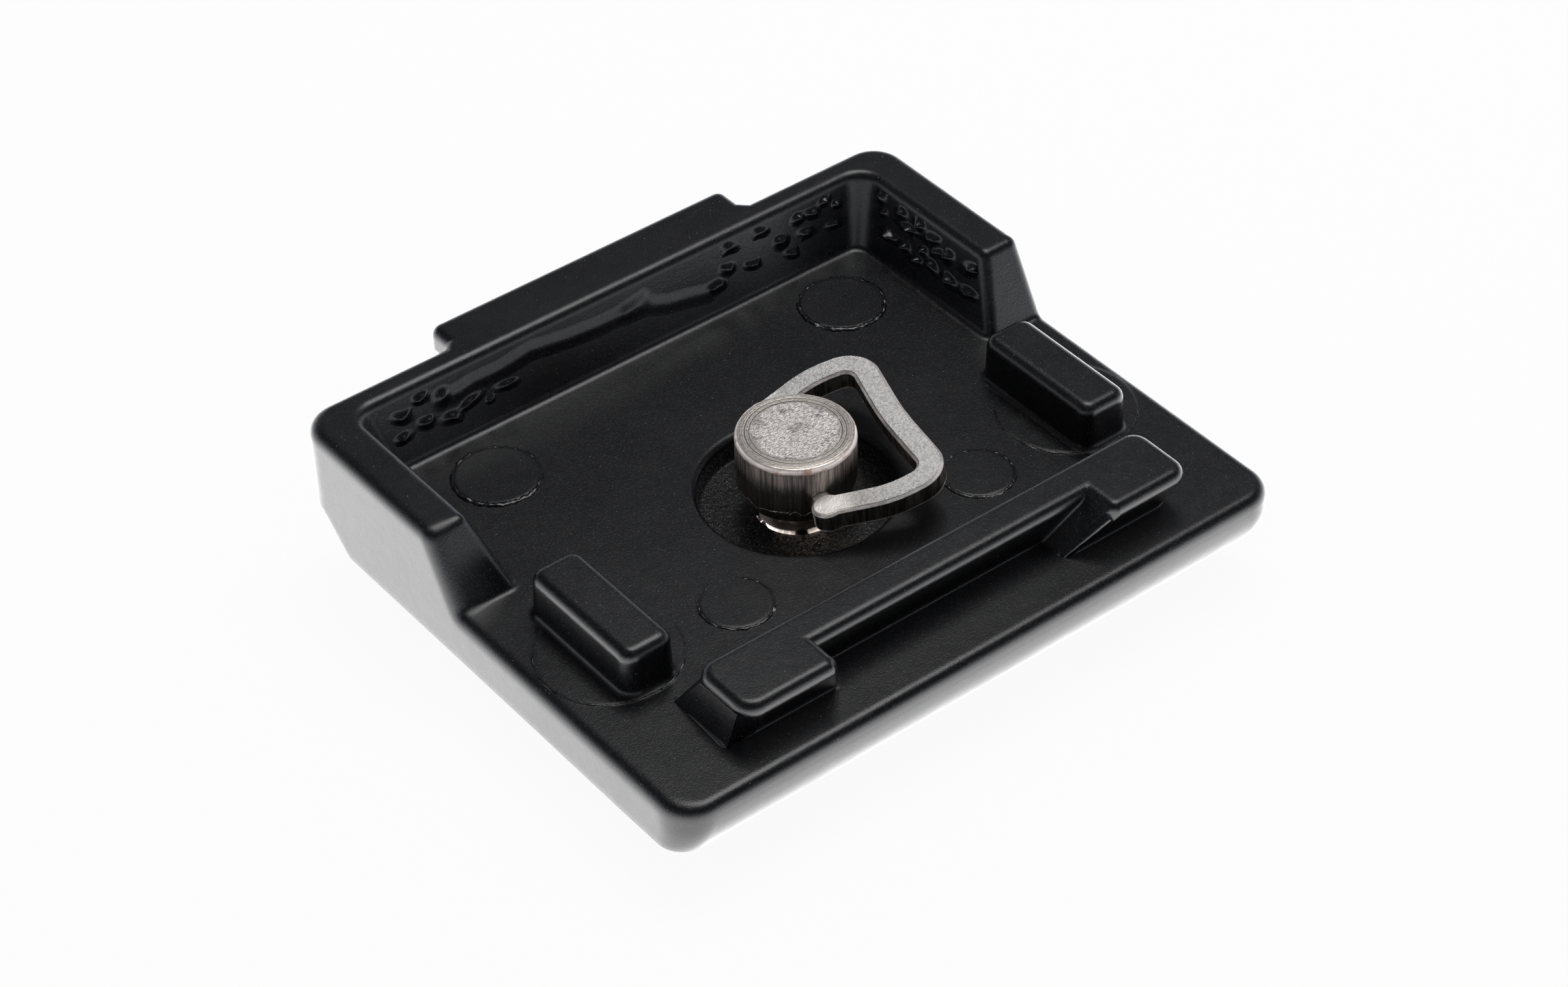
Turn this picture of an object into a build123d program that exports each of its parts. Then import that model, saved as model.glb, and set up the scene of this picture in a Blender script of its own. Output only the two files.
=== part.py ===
from build123d import *
import os

# Casting outline in plan; the screw axis is x = y = 0 and the camera face of the pad is z = 0
half_width = 30.0
front_y = -24.5
back_y = 26.4
corner_radius = 3.0
low_corner_radius = 2.2

# Heights of the casting
pad_thickness = 2.0
pad_proud = 1.3
plate_thickness = 4.9
wall_height = 6.1
top_band = 1.5

# How far each side stands in at the bottom edge
left_lean = 0.0
right_lean = 1.0
front_lean = 1.2
back_lean = 4.7

# Tray between the three walls
side_wall = 5.9
back_wall = 4.6
wall_draft = 2.1
tray_corner = 1.4
rim_corner = 1.9
wall_end_y = 4.4
wall_end_slope = 3.45
wall_end_round = 0.9
rim_round = 0.9
edge_round = 1.0
foot_round = 0.6
bottom_chamfer = 0.4

# Tongue on the back wall
tongue_half_width = 15.1
tongue_reach = 3.2
tongue_thickness = 2.0
tongue_corner = 1.0
tongue_root_chamfer = 0.6

# Side blocks
block_inner_x = 20.4
block_width = 4.9
block_front_y = -11.6
block_length = 13.2
block_height = 4.2
block_corner = 1.3
block_round = 0.9
block_draft = 2.0

# Cross bar with its two wide ends
bar_left_x = -21.7
bar_right_x = 22.6
bar_back_y = -15.2
bar_height = 4.2
bar_depth = 3.8
bar_undercut = 1.5
end_depth = 7.1
end_undercut = 2.1
left_end_length = 8.6
right_end_length = 7.9
left_end_ramp = 1.9
right_end_ramp = 4.0
bar_left_draft = 0.8
bar_right_undercut = 0.8
bar_corner = 1.6
bar_inner_corner = 0.8
bar_round = 0.8
foot_chamfer = 0.3

# Round cast marks on the tray floor: x, y, radius, height
rear_mark = (17.8, 16.4, 3.6, 0.1)
front_mark = (12.25, -8.0, 2.95, 0.1)
block_mark = (23.2, -6.2, 5.85, 0.06)

# Screw recess and the web under it
recess_radius = 8.2
recess_depth = 2.1
recess_draft = 0.3
recess_chamfer = 0.3
web_thickness = 1.2
hole_clearance = 0.3

# Camera screw, 1/4 inch
thread_radius = 3.175
screw_reach = 4.4
screw_lift = 2.2
tip_chamfer = 0.5
head_radius = 4.9
head_height = 5.7
head_bevel = 0.4
head_low_bevel = 0.45
head_low_band = 1.0
groove_depth = 0.8

# Retaining clip
clip_thickness = 0.7
clip_ring_width = 1.3
clip_lug_reach = 1.4
clip_lug_width = 1.6
clip_mouth = 4.6
clip_play = 0.05
clip_gap = 0.1
clip_room = 0.5

# Folding ring
pivot_height = 2.08
ring_thickness = 2.0
ring_strip = 2.15
ring_side_gap = 0.43
ring_bulge = (4.9, 1.6)
ring_corner = (9.2, 1.3)
ring_end_x = 8.65
ring_bulge_round = 8.0
ring_corner_round = 2.0
ring_hub_radius = 1.3
ring_end_round = 30.0
ring_edge_chamfer = 0.25
ring_tilt = 10.0
ring_yaw = -14.5
pin_radius = 0.95
pin_depth = 2.0
pin_clearance = 0.05
pin_end_play = 0.2

# Anti-slip pad
pad_margin = 3.0
pad_corner = 2.0
pad_fit = 0.1
pad_edge_chamfer = 0.3
pad_hole_margin = 0.2

casting_z = pad_proud
tray_z = casting_z + plate_thickness
rim_z = tray_z + wall_height
wall_root_z = tray_z - top_band
recess_z = tray_z - recess_depth
web_z = recess_z - web_thickness
clip_top_z = web_z - clip_gap
clip_low_z = clip_top_z - clip_thickness
head_low_z = recess_z + screw_lift
head_top_z = head_low_z + head_height
pivot_z = head_low_z + pivot_height
groove_radius = thread_radius - groove_depth
clip_inner = groove_radius + clip_play
clip_outer = clip_inner + clip_lug_reach + clip_ring_width
clip_pocket_radius = clip_outer + clip_room
hub_y = head_radius + ring_side_gap + ring_strip / 2
overcut = 1.0


def outline(left, right, front, back, radius, z):
    rectangle = RectangleRounded(2 * half_width - left - right, back_y - front_y - front - back, radius)
    return Pos((left - right) / 2, (front_y + back_y + front - back) / 2, z) * rectangle


def outer_plan(z):
    return outline(0, 0, 0, 0, corner_radius, z)


def tray_plan(z):
    share = (z - tray_z) / wall_height
    side = side_wall - wall_draft * share
    radius = tray_corner + (rim_corner - tray_corner) * share
    return outline(side, side, -half_width, back_wall - wall_draft * share, radius, z)


def pad_plan(gap, z):
    inset = pad_margin - gap
    return outline(left_lean + inset, right_lean + inset, front_lean + inset, back_lean + inset,
                   pad_corner + gap, z)


def disc(radius, z_low, height):
    return Pos(0, 0, z_low + height / 2) * Cylinder(radius, height)


def edges_at_height(shape, z):
    return [e for e in shape.edges() if all(abs((e @ share).Z - z) < 1e-4 for share in (0, 0.5, 1))]


def base_slab():
    bottom = outline(left_lean, right_lean, front_lean, back_lean, low_corner_radius, casting_z)
    middle = outline(left_lean / 4, right_lean / 4, front_lean / 4, back_lean / 2,
                     (low_corner_radius + corner_radius) / 2, (casting_z + wall_root_z) / 2)
    slab = loft([bottom, middle, outer_plan(wall_root_z)])
    slab = chamfer(edges_at_height(slab, casting_z), bottom_chamfer)
    return slab + extrude(outer_plan(wall_root_z), top_band)


def tray_walls():
    walls = extrude(outer_plan(wall_root_z), rim_z - wall_root_z)
    side = half_width - tongue_half_width
    root = back_y - front_y - 2 * tongue_corner
    tongue = outline(side, side, root, -tongue_reach, tongue_corner, rim_z - tongue_thickness)
    walls += extrude(tongue, tongue_thickness)
    roots = [e for e in walls.edges().filter_by(Axis.Z)
             if abs(abs(e.center().X) - tongue_half_width) < 1e-3 and abs(e.center().Y - back_y) < 1e-3]
    walls = chamfer(roots, tongue_root_chamfer)
    walls -= loft([tray_plan(wall_root_z - overcut), tray_plan(rim_z + overcut)])
    slope = wall_end_slope / wall_height
    low_y = wall_end_y - slope * (top_band + overcut)
    high_y = wall_end_y + slope * (wall_height + overcut)
    ends = Plane.YZ * make_face(Polyline((low_y, wall_root_z - overcut), (high_y, rim_z + overcut),
                                         (front_y - overcut, rim_z + overcut),
                                         (front_y - overcut, wall_root_z - overcut), close=True))
    return walls - extrude(ends, half_width + overcut, both=True)


def walled_tray():
    tray = base_slab() + tray_walls()
    inner_ends = [e for e in tray.edges() if abs((e @ 1).Z - (e @ 0).Z) > wall_height - 0.01
                  and e.center().Y < wall_end_y + wall_end_slope and abs(e.center().X) < half_width - 0.01]
    tray = fillet(inner_ends, wall_end_round)
    foot = [e for e in edges_at_height(tray, tray_z) if e.center().Y > wall_end_y - 0.01
            and abs(e.center().X) < half_width - 0.01]
    tray = fillet(foot, foot_round)
    brim = [e for e in edges_at_height(tray, tray_z) if e.center().Y < wall_end_y - 2 * foot_round]
    tray = fillet(brim, edge_round)
    return fillet(edges_at_height(tray, rim_z), rim_round)


def side_block(side):
    x_mid = side * (block_inner_x + block_width / 2)
    foot = RectangleRounded(block_width, block_length, block_corner)
    foot = Pos(x_mid, block_front_y + block_length / 2, tray_z) * foot
    block = extrude(foot, block_height, taper=block_draft)
    return fillet(edges_at_height(block, tray_z + block_height), block_round)


def upright_edges(shape):
    return [e for e in shape.edges() if abs((e @ 1).Z - (e @ 0).Z) > bar_height - 0.01]


def bar_length(x_low, x_high, low_run, high_run, depth, undercut, outer_side):
    top = tray_z + bar_height
    section = Plane.YZ * make_face(Polyline((bar_back_y, tray_z), (bar_back_y, top), (bar_back_y - depth, top),
                                            (bar_back_y - depth + undercut, tray_z), close=True))
    side_view = Plane.XZ * make_face(Polyline((x_low - low_run, tray_z), (x_high + high_run, tray_z),
                                              (x_high, top), (x_low, top), close=True))
    piece = extrude(section, half_width, both=True) & extrude(side_view, half_width, both=True)
    x_mid = (x_low + x_high) / 2
    if outer_side:
        outer = [e for e in upright_edges(piece) if (e.center().X - x_mid) * outer_side > 0]
        piece = fillet(outer, bar_corner)
        inner = [e for e in upright_edges(piece) if (e.center().X - x_mid) * outer_side < 0
                 and e.center().Y < bar_back_y - overcut]
        piece = chamfer(inner, bar_inner_corner)
    return fillet(edges_at_height(piece, top), bar_round)


def cross_bar():
    bar = bar_length(bar_left_x + end_depth / 2, bar_right_x - end_depth / 2, 0, 0, bar_depth, bar_undercut, 0)
    bar += bar_length(bar_left_x, bar_left_x + left_end_length, bar_left_draft, left_end_ramp,
                      end_depth, end_undercut, -1)
    bar += bar_length(bar_right_x - right_end_length, bar_right_x, right_end_ramp, -bar_right_undercut,
                      end_depth, end_undercut, 1)
    return bar


def cast_mark(mark, side):
    x, y, radius, height = mark
    return Pos(side * x, y, tray_z + height / 2) * Cone(radius, radius - height, height)


def plate_body():
    body = walled_tray() + cross_bar() + side_block(-1) + side_block(1)
    x_mid = block_inner_x + block_width / 2
    y_mid = block_front_y + block_length / 2
    feet = [e for e in edges_at_height(body, tray_z) if abs(abs(e.center().X) - x_mid) < block_width
            and abs(e.center().Y - y_mid) < block_length / 2 + 0.01]
    body = chamfer(feet, foot_chamfer)
    for side in (-1, 1):
        for mark in (rear_mark, front_mark, block_mark):
            body += cast_mark(mark, side)
    recess = Cone(recess_radius - recess_draft, recess_radius, recess_depth)
    body -= Pos(0, 0, recess_z + recess_depth / 2) * recess
    recess_rim = [e for e in edges_at_height(body, tray_z) if abs(abs((e @ 0).X) - recess_radius) < 0.01]
    body = chamfer(recess_rim, recess_chamfer)
    body -= disc(thread_radius + hole_clearance, casting_z, recess_depth + plate_thickness)
    body -= disc(clip_pocket_radius, casting_z - overcut, web_z - casting_z + overcut)
    body -= extrude(pad_plan(pad_fit, casting_z), pad_thickness - pad_proud)
    return body


def camera_screw():
    tip_z = screw_lift - screw_reach
    groove_top = clip_top_z + clip_play
    groove_low = clip_low_z - clip_play
    outline = Polyline(
        (0, tip_z), (thread_radius - tip_chamfer, tip_z), (thread_radius, tip_z + tip_chamfer),
        (thread_radius, groove_low), (groove_radius, groove_low), (groove_radius, groove_top),
        (thread_radius, groove_top), (thread_radius, head_low_z), (head_radius - head_low_bevel, head_low_z),
        (head_radius, head_low_z + head_low_band), (head_radius, head_top_z - head_bevel),
        (head_radius - head_bevel, head_top_z), (0, head_top_z), close=True)
    screw = revolve(Plane.XZ * make_face(outline), Axis.Z)
    bore_depth = pin_depth + pin_end_play
    for side in (-1, 1):
        bore = Pos(0, side * (head_radius - bore_depth + head_radius / 2), 0) * Rot(90, 0, 0)
        bore = bore * Cylinder(pin_radius + pin_clearance, head_radius)
        screw -= Pos(0, 0, pivot_z) * Rot(0, 0, ring_yaw) * bore
    return screw


def d_ring():
    bulge_x, bulge_out = ring_bulge
    corner_x, corner_out = ring_corner
    half = [(0, hub_y), (bulge_x, hub_y + bulge_out), (corner_x, hub_y + corner_out)]
    line = [(x, -y) for x, y in half] + [(ring_end_x, 0)] + half[::-1]
    rounds = [ring_bulge_round, ring_corner_round, ring_end_round, ring_corner_round, ring_bulge_round]
    centre_line = Wire(FilletPolyline(*line, radius=rounds).edges())
    strip = make_face(centre_line.offset_2d(ring_strip / 2))
    for side in (-1, 1):
        strip += Pos(0, side * hub_y) * Circle(ring_hub_radius)
    ring = extrude(strip, ring_thickness / 2, both=True)
    flat_edges = edges_at_height(ring, ring_thickness / 2) + edges_at_height(ring, -ring_thickness / 2)
    ring = chamfer(flat_edges, ring_edge_chamfer)
    pin_tip = head_radius - pin_depth
    for side in (-1, 1):
        pin = Rot(90, 0, 0) * Cylinder(pin_radius, hub_y - pin_tip)
        ring += Pos(0, side * (hub_y + pin_tip) / 2, 0) * pin
    return Pos(0, 0, pivot_z) * Rot(0, 0, ring_yaw) * Rot(0, -ring_tilt, 0) * ring


def retaining_clip():
    band = Circle(clip_outer) - Circle(clip_outer - clip_ring_width)
    lug_length = clip_outer - clip_ring_width / 2
    for turn in (0, 120, 240):
        band += Rot(0, 0, turn) * Pos(lug_length / 2, 0) * Rectangle(lug_length, clip_lug_width)
    band -= Circle(clip_inner)
    band -= Pos(-clip_outer, 0) * Rectangle(2 * clip_outer - clip_mouth / 2, clip_mouth)
    return extrude(Pos(0, 0, clip_low_z) * band, clip_thickness)


def rubber_pad():
    pad = extrude(pad_plan(0, 0), pad_thickness)
    pad = chamfer(edges_at_height(pad, 0), pad_edge_chamfer)
    return pad - disc(clip_pocket_radius + pad_hole_margin, -overcut, pad_thickness + 2 * overcut)


os.makedirs("parts", exist_ok=True)
pieces = {
    "plate_body": plate_body,
    "camera_screw": camera_screw,
    "d_ring": d_ring,
    "retaining_clip": retaining_clip,
    "rubber_pad": rubber_pad,
}
for name, make in pieces.items():
    export_step(make(), "parts/" + name + ".step")
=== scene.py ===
import bpy
import math
import random
from mathutils import Matrix, Vector


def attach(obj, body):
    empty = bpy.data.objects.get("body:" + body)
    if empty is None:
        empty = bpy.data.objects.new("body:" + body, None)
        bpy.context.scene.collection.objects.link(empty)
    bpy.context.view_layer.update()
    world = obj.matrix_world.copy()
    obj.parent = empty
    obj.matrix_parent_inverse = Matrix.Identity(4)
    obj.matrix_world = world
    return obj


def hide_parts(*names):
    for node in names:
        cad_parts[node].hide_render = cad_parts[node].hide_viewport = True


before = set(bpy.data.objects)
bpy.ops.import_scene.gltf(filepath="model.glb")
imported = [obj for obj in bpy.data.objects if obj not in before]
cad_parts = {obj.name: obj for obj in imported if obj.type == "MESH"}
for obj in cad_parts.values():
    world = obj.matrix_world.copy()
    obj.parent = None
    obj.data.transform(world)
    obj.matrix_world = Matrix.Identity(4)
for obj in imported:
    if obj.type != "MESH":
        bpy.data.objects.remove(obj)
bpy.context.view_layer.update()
mm = 0.001  # lengths are written in millimetres, and times this in metres
trayZ = 6.2  # height of the tray floor
ringPivot = {"z": 8.38, "yaw": math.radians(-14.5), "tilt": math.radians(10.0)}
edgeSamples = 6  # rays of the shader that softens edges
print("frame loaded", sorted(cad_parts))


# a socket that can be used in sums
class Flow:
    def __init__(self, shade, socket):
        self.shade = shade
        self.socket = socket

    def math(self, operation, other=0.0):
        return self.shade.node("ShaderNodeMath", {"operation": operation}, {0: self, 1: other})

    def __add__(self, other):
        return self.math("ADD", other)

    def __sub__(self, other):
        return self.math("SUBTRACT", other)

    def __mul__(self, other):
        return self.math("MULTIPLY", other)

    def __pow__(self, other):
        return self.math("POWER", other)

    def __rsub__(self, other):
        return self.shade.node("ShaderNodeMath", {"operation": "SUBTRACT"}, {0: other, 1: self})

    def __gt__(self, other):
        return self.math("GREATER_THAN", other)

    def __lt__(self, other):
        return self.math("LESS_THAN", other)

    __radd__ = __add__
    __rmul__ = __mul__

    def off(self, place):
        # distance to a place, on either side of it
        return (self - place).math("ABSOLUTE")

    def ease(self, low, high):
        # 0 at low, 1 at high, smooth between
        return self.shade.node("ShaderNodeMapRange", {"interpolation_type": "SMOOTHSTEP"},
                               {"Value": self, "From Min": low, "From Max": high})


# one node tree: a material's, or the world's
class Shade:
    def __init__(self, owner):
        owner.use_nodes = True
        self.owner = owner
        self.tree = owner.node_tree

    def node(self, kind, settings=None, sockets=None, out=0):
        made = self.tree.nodes.new(kind)
        for key, value in (settings or {}).items():
            setattr(made, key, value)
        for key, value in (sockets or {}).items():
            self.feed(made.inputs[key], value)
        return Flow(self, made.outputs[out]) if len(made.outputs) else None

    def feed(self, socket, value):
        if isinstance(value, Flow):
            self.tree.links.new(value.socket, socket)
        else:
            socket.default_value = value

    def millimetres(self):
        coords = self.node("ShaderNodeTexCoord", out="Object")
        return self.node("ShaderNodeVectorMath", {"operation": "SCALE"}, {0: coords, "Scale": 1 / mm})

    def axes(self, vector):
        return [self.node("ShaderNodeSeparateXYZ", {}, {0: vector}, out=axis) for axis in "XYZ"]

    def noise(self, vector, scale, detail=2.0, roughness=0.5):
        return self.node("ShaderNodeTexNoise", {}, {"Vector": vector, "Scale": scale, "Detail": detail,
                                                    "Roughness": roughness})

    def stretched(self, vector, amounts, turn=(0.0, 0.0, 0.0)):
        return self.node("ShaderNodeMapping", {}, {"Vector": vector, "Scale": amounts, "Rotation": turn})

    def cells(self, vector, scale, out="Distance"):
        return self.node("ShaderNodeTexVoronoi", {}, {"Vector": vector, "Scale": scale}, out=out)

    def lots(self, vector, scale):
        # one random value for each cell
        return self.node("ShaderNodeSeparateColor", {}, {0: self.cells(vector, scale, "Color")})

    def specks(self, vector, scale, size, share):
        # small dots in some of the cells
        near = 1 - self.cells(vector, scale).ease(size / 2, size)
        return near * (self.lots(vector, scale) < share)

    def blendColour(self, factor, first, second):
        # the node's colour sockets are 6 and 7, and 2 on the other side
        return self.node("ShaderNodeMix", {"data_type": "RGBA"}, {0: factor, 6: first, 7: second}, out=2)

    def bump(self, height, distance, softEdge=None):
        sockets = {"Height": height, "Distance": distance}
        if softEdge is not None:
            sockets["Normal"] = self.node("ShaderNodeBevel", {"samples": edgeSamples}, {"Radius": softEdge})
        return self.node("ShaderNodeBump", {}, sockets)

    def mixed(self, factor, first, second):
        return self.node("ShaderNodeMixShader", {}, {0: factor, 1: first, 2: second})

    def rays(self, *kinds):
        return [self.node("ShaderNodeLightPath", out=f"Is {kind} Ray") for kind in kinds]

    def glow(self, strength):
        return self.node("ShaderNodeEmission", {}, {"Color": grey(1.0), "Strength": strength})

    def backdrop(self, strength, colour):
        return self.node("ShaderNodeBackground", {}, {"Color": colour, "Strength": strength})


def grey(value):
    return (value, value, value, 1.0)


def fromAxis(x, y):
    # distance from the screw's axis
    return (x * x + y * y) ** 0.5


def newSkin(name, fixed):
    # a Principled material with its constant values set on the sockets
    shade = Shade(bpy.data.materials.new(name))
    skin = shade.tree.nodes["Principled BSDF"]
    for key, value in fixed.items():
        skin.inputs[key].default_value = value
    return shade, skin


def dress(shade, skin, colour, roughness, normal):
    shade.feed(skin.inputs["Base Color"], colour)
    shade.feed(skin.inputs["Roughness"], roughness)
    shade.feed(skin.inputs["Normal"], normal)
    return shade.owner


# black paint on the casting, with dust, and sandy in the screw's recess
paintLook = {
    "black": (0.0022, 0.0025, 0.0035, 1.0),
    # lighter grey of the foot bead: partly rubbed paint, partly a painted highlight along the foot
    "rubbedHighlight": (0.030, 0.030, 0.032, 1.0),
    "worn": (0.019, 0.0195, 0.022, 1.0),
    "dust": (0.24, 0.24, 0.23, 1.0),
    "grit": (0.075, 0.070, 0.062, 1.0),
    "fixed": {"IOR": 1.52, "Specular IOR Level": 0.5},
    "roughness": 0.23, "reliefRoughness": 0.19, "rubbedHighlightRoughness": 0.34,
    "softEdge": 0.4 * mm, "softSide": 0.7 * mm, "sideFade": (-28.6, -26.6),
    "recessRadius": 8.1, "recessTop": 5.95,
    "grain": {"scale": 6.5, "detail": 2.0, "roughness": 0.6}, "grainFade": (0.50, 0.70),
    "peel": {"scale": 0.9, "detail": 2.0},
    "cloud": {"scale": 0.14, "detail": 3.0},
    "coarseDust": {"scale": 1.3, "size": 0.060, "share": 0.45},
    "fineDust": {"scale": 3.2, "size": 0.11, "share": 0.16},
    "sand": {"scale": 6.0, "detail": 3.0, "roughness": 0.7}, "sandFade": (0.51, 0.61),
    "pits": {"scale": 2.4, "detail": 4.0, "roughness": 0.7},
    "roughens": {"cloud": 0.08, "peel": 0.06, "dust": 0.2, "recess": -0.1},
    "heights": {"grain": 0.44, "peel": 0.35, "dust": 0.3, "sand": 2.6, "pits": 2.0},
    "bump": 0.03 * mm,
}


def blackPaint(name, softEdge, roughness, ground="black"):
    look = paintLook
    rough, heights = look["roughens"], look["heights"]
    shade, skin = newSkin(name, look["fixed"])
    place = shade.millimetres()
    x, y, z = shade.axes(place)
    recess = (fromAxis(x, y) < look["recessRadius"]) * (z < look["recessTop"])
    grain = shade.noise(place, **look["grain"])
    peel = shade.noise(place, **look["peel"])
    cloud = shade.noise(place, **look["cloud"])
    dust = shade.specks(place, **look["coarseDust"]) + shade.specks(place, **look["fineDust"])
    sand = recess * shade.noise(place, **look["sand"]).ease(*look["sandFade"])
    pits = recess * shade.noise(place, **look["pits"])
    colour = shade.blendColour(grain.ease(*look["grainFade"]), look[ground], look["worn"])
    colour = shade.blendColour(dust.math("MINIMUM", 1.0), colour, look["dust"])
    colour = shade.blendColour(sand, colour, look["grit"])
    roughness = roughness + rough["cloud"] * cloud + rough["peel"] * peel + rough["dust"] * dust
    roughness = roughness + rough["recess"] * recess
    height = grain * heights["grain"] + peel * heights["peel"] + dust * heights["dust"]
    height = height + sand * heights["sand"] + pits * heights["pits"]
    edge = None
    if softEdge:
        # the edges of the left side are rounder than the others
        edge = softEdge + look["softSide"] * (1 - x.ease(*look["sideFade"]))
    return dress(shade, skin, colour, roughness, shade.bump(height, look["bump"], edge))


# nickel on the screw: hammered centre, lathe rings, drawn side with painted shade low down and a band of
# painted highlight, worn rim
nickelLook = {
    "bright": (1.0, 0.92, 0.83, 1.0),
    "dull": (0.16, 0.147, 0.133, 1.0),
    # shade: the lower head side, darker as painted shade
    "shade": (0.46, 0.41, 0.37, 1.0),
    "pink": (0.70, 0.585, 0.52, 1.0),
    "edge": (1.0, 0.90, 0.83, 1.0),
    "copper": (0.62, 0.36, 0.25, 1.0),
    "fixed": {"Metallic": 1.0, "Anisotropic": 0.8, "Anisotropic Rotation": 0.25},
    "faceZ": 11.94, "threadTop": 6.25, "burrHighlightZ": 7.45,
    "centreFade": (3.95, 4.50), "rimFade": (4.58, 4.72), "rimRise": (11.55, 11.80),
    "sideFade": (11.5, 11.8), "upperLitFade": (9.9, 11.6),
    "scribes": [(4.06, 0.07), (3.72, 0.06)], "scribeCore": 0.02, "burrHighlightFade": (0.02, 0.11),
    "wave": {"scale": 0.7, "detail": 3.0, "roughness": 0.6}, "waveFade": (0.50, 0.68),
    "wander": {"centre": 1.3, "lathe": 3.0, "rim": 0.5, "upperLit": 1.6, "burrHighlight": 1.6},
    "latheTurns": 34.0,
    "flecks": {"scale": 3.0, "detail": 5.0, "roughness": 0.74},
    "fleckStretch": (1.0, 2.4, 1.0), "fleckTurn": (0.0, 0.0, 0.62),
    "fleckFade": (0.42, 0.60), "ringFleckFade": (0.44, 0.60),
    "stroke": {"scale": 1.0, "detail": 4.0, "roughness": 0.7},
    "strokeStretch": (4.5, 4.5, 0.16), "strokeFade": (0.40, 0.58),
    "rust": {"scale": 1.1, "detail": 4.0, "roughness": 0.7}, "rustFade": (0.52, 0.64),
    "darkens": {"flecks": 0.75, "wave": 0.4, "rings": 0.42, "lathe": 0.3, "ringFlecks": 0.3,
                "scribes": 0.6},
    "strokeShare": 0.85, "burrHighlightLeast": 0.3, "threadShare": 0.8,
    "roughness": 0.20,
    "roughens": {"centre": 0.06, "rings": 0.12, "stroke": 0.10, "upperLit": 0.14, "rim": 0.18},
    "heights": {"flecks": 7.5, "lathe": 0.12, "ringFlecks": 1.2, "stroke": 0.5, "burrHighlight": 1.6, "rim": 4.0},
    "bump": 0.03 * mm,
}


def turnedNickel():
    look = nickelLook
    dark, rough, heights, wander = look["darkens"], look["roughens"], look["heights"], look["wander"]
    shade, skin = newSkin("turned_nickel", look["fixed"])
    place = shade.millimetres()
    x, y, z = shade.axes(place)
    radius = fromAxis(x, y)
    wave = shade.noise(place, **look["wave"])
    flecks = shade.noise(shade.stretched(place, look["fleckStretch"], look["fleckTurn"]), **look["flecks"])
    stroke = shade.noise(shade.stretched(place, look["strokeStretch"]), **look["stroke"])
    rust = shade.noise(place, **look["rust"]).ease(*look["rustFade"])
    lathe = (radius * look["latheTurns"] + wave * wander["lathe"]).math("SINE") * 0.5 + 0.5  # 0 to 1

    # where each finish lies, and where shade and highlight are painted on the side
    face = z > look["faceZ"]
    centre = face * (1 - (radius + wave * wander["centre"]).ease(*look["centreFade"]))
    rings = face * (1 - centre)
    rim = radius.ease(*look["rimFade"]) * (z + wave * wander["rim"]).ease(*look["rimRise"])
    side = (1 - z.ease(*look["sideFade"])) * (z > look["threadTop"])
    upperLit = (z + wave * wander["upperLit"]).ease(*look["upperLitFade"])
    outer, inner = [radius.off(line).ease(look["scribeCore"], width) for line, width in look["scribes"]]
    scribes = 1 - outer * inner
    # band of painted highlight low on the side, over a low ridge in the bump
    burrHighlight = 1 - (z - (wave - 0.5) * wander["burrHighlight"]).off(look["burrHighlightZ"]).ease(*look["burrHighlightFade"])

    centreDark = flecks.ease(*look["fleckFade"]) * dark["flecks"]
    centreDark = centreDark + wave.ease(*look["waveFade"]) * dark["wave"]
    ringsDark = dark["rings"] + lathe * dark["lathe"] + scribes * dark["scribes"]
    ringsDark = ringsDark + flecks.ease(*look["ringFleckFade"]) * dark["ringFlecks"]
    shadow = (centre * centreDark + rings * ringsDark).math("MINIMUM", 1.0)
    colour = shade.blendColour(shadow, look["bright"], look["dull"])
    # painted shade: the side is pink and lighter at the top and darker lower down, where it mirrors the
    # black plate
    colour = shade.blendColour(side, colour, shade.blendColour(upperLit, look["shade"], look["pink"]))
    strokeDark = side * stroke.ease(*look["strokeFade"]) * look["strokeShare"]
    colour = shade.blendColour(strokeDark, colour, look["dull"])
    # painted highlight: a bright wavy band low on the head side, in patches
    colour = shade.blendColour(side * burrHighlight * rust.math("MAXIMUM", look["burrHighlightLeast"]), colour, look["bright"])
    colour = shade.blendColour((z < look["threadTop"]) * look["threadShare"], colour, look["pink"])
    colour = shade.blendColour(rim, colour, look["edge"])
    colour = shade.blendColour(rim * rust, colour, look["copper"])

    roughness = look["roughness"] + rough["centre"] * centre + rough["rings"] * rings + rough["rim"] * rim
    roughness = roughness + side * (rough["stroke"] * stroke + rough["upperLit"] * upperLit)
    height = centre * flecks * heights["flecks"] + rim * wave * heights["rim"]
    height = height + rings * (lathe * heights["lathe"] + flecks * heights["ringFlecks"])
    height = height + side * (stroke * heights["stroke"] + burrHighlight * heights["burrHighlight"])
    return dress(shade, skin, colour, roughness, shade.bump(height, look["bump"]))


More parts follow.
